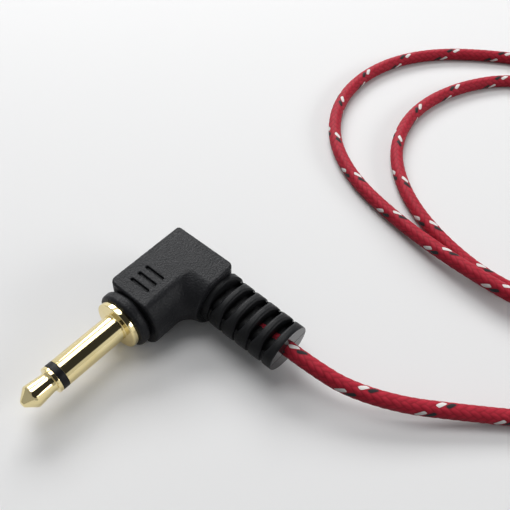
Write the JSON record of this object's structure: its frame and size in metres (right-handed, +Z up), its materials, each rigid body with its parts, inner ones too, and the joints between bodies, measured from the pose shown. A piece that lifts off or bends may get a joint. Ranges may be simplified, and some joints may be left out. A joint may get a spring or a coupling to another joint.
{
  "type": "instrument cable",
  "caption": "Thin braided instrument cable with a moulded right-angle 3.5 mm plug and ribbed strain relief at each end, lying in a loose coil.",
  "frame": {"origin": "on the near plug's axis, in the front face of its flange, the face that seats on a socket", "axes": "-X along the near plug's axis out of its tip, -Y along the cord where it leaves the near plug's strain relief, +Z up from the table the cable lies on"},
  "size_m": [0.1161, 0.0914, 0.0074],
  "materials": {
    "contact_gold": "gold plated, polished",
    "terminal_brass": "plain",
    "insulator_black": "satin",
    "insulator_pale": "plain",
    "copper": "bare stranded copper",
    "solder": "satin",
    "inner_plastic": "plain",
    "body_pvc": "fine-grained matte",
    "relief_pvc": "satin",
    "braid": "woven braid with a white and a black tracer"
  },
  "bodies": {
    "root": {"near_tip_contact": "contact_gold", "near_contact_rod": "terminal_brass", "near_tip_ring": "insulator_black", "near_insulating_tube": "insulator_pale", "near_sleeve_contact": "contact_gold", "near_rear_washer": "insulator_pale", "near_tip_terminal": "terminal_brass", "near_ground_terminal": "terminal_brass", "near_core_conductor": "copper", "near_core_insulation": "insulator_pale", "near_shield_tail": "copper", "near_tip_solder": "solder", "near_ground_solder": "solder", "near_inner_mould": "inner_plastic", "near_body": "body_pvc", "near_strain_relief": "relief_pvc", "near_cord_end": "braid", "far_tip_contact": "contact_gold", "far_contact_rod": "terminal_brass", "far_tip_ring": "insulator_black", "far_insulating_tube": "insulator_pale", "far_sleeve_contact": "contact_gold", "far_rear_washer": "insulator_pale", "far_tip_terminal": "terminal_brass", "far_ground_terminal": "terminal_brass", "far_core_conductor": "copper", "far_core_insulation": "insulator_pale", "far_shield_tail": "copper", "far_tip_solder": "solder", "far_ground_solder": "solder", "far_inner_mould": "inner_plastic", "far_body": "body_pvc", "far_strain_relief": "relief_pvc", "far_cord_end": "braid", "cord": "braid"}
  },
  "joints": []
}
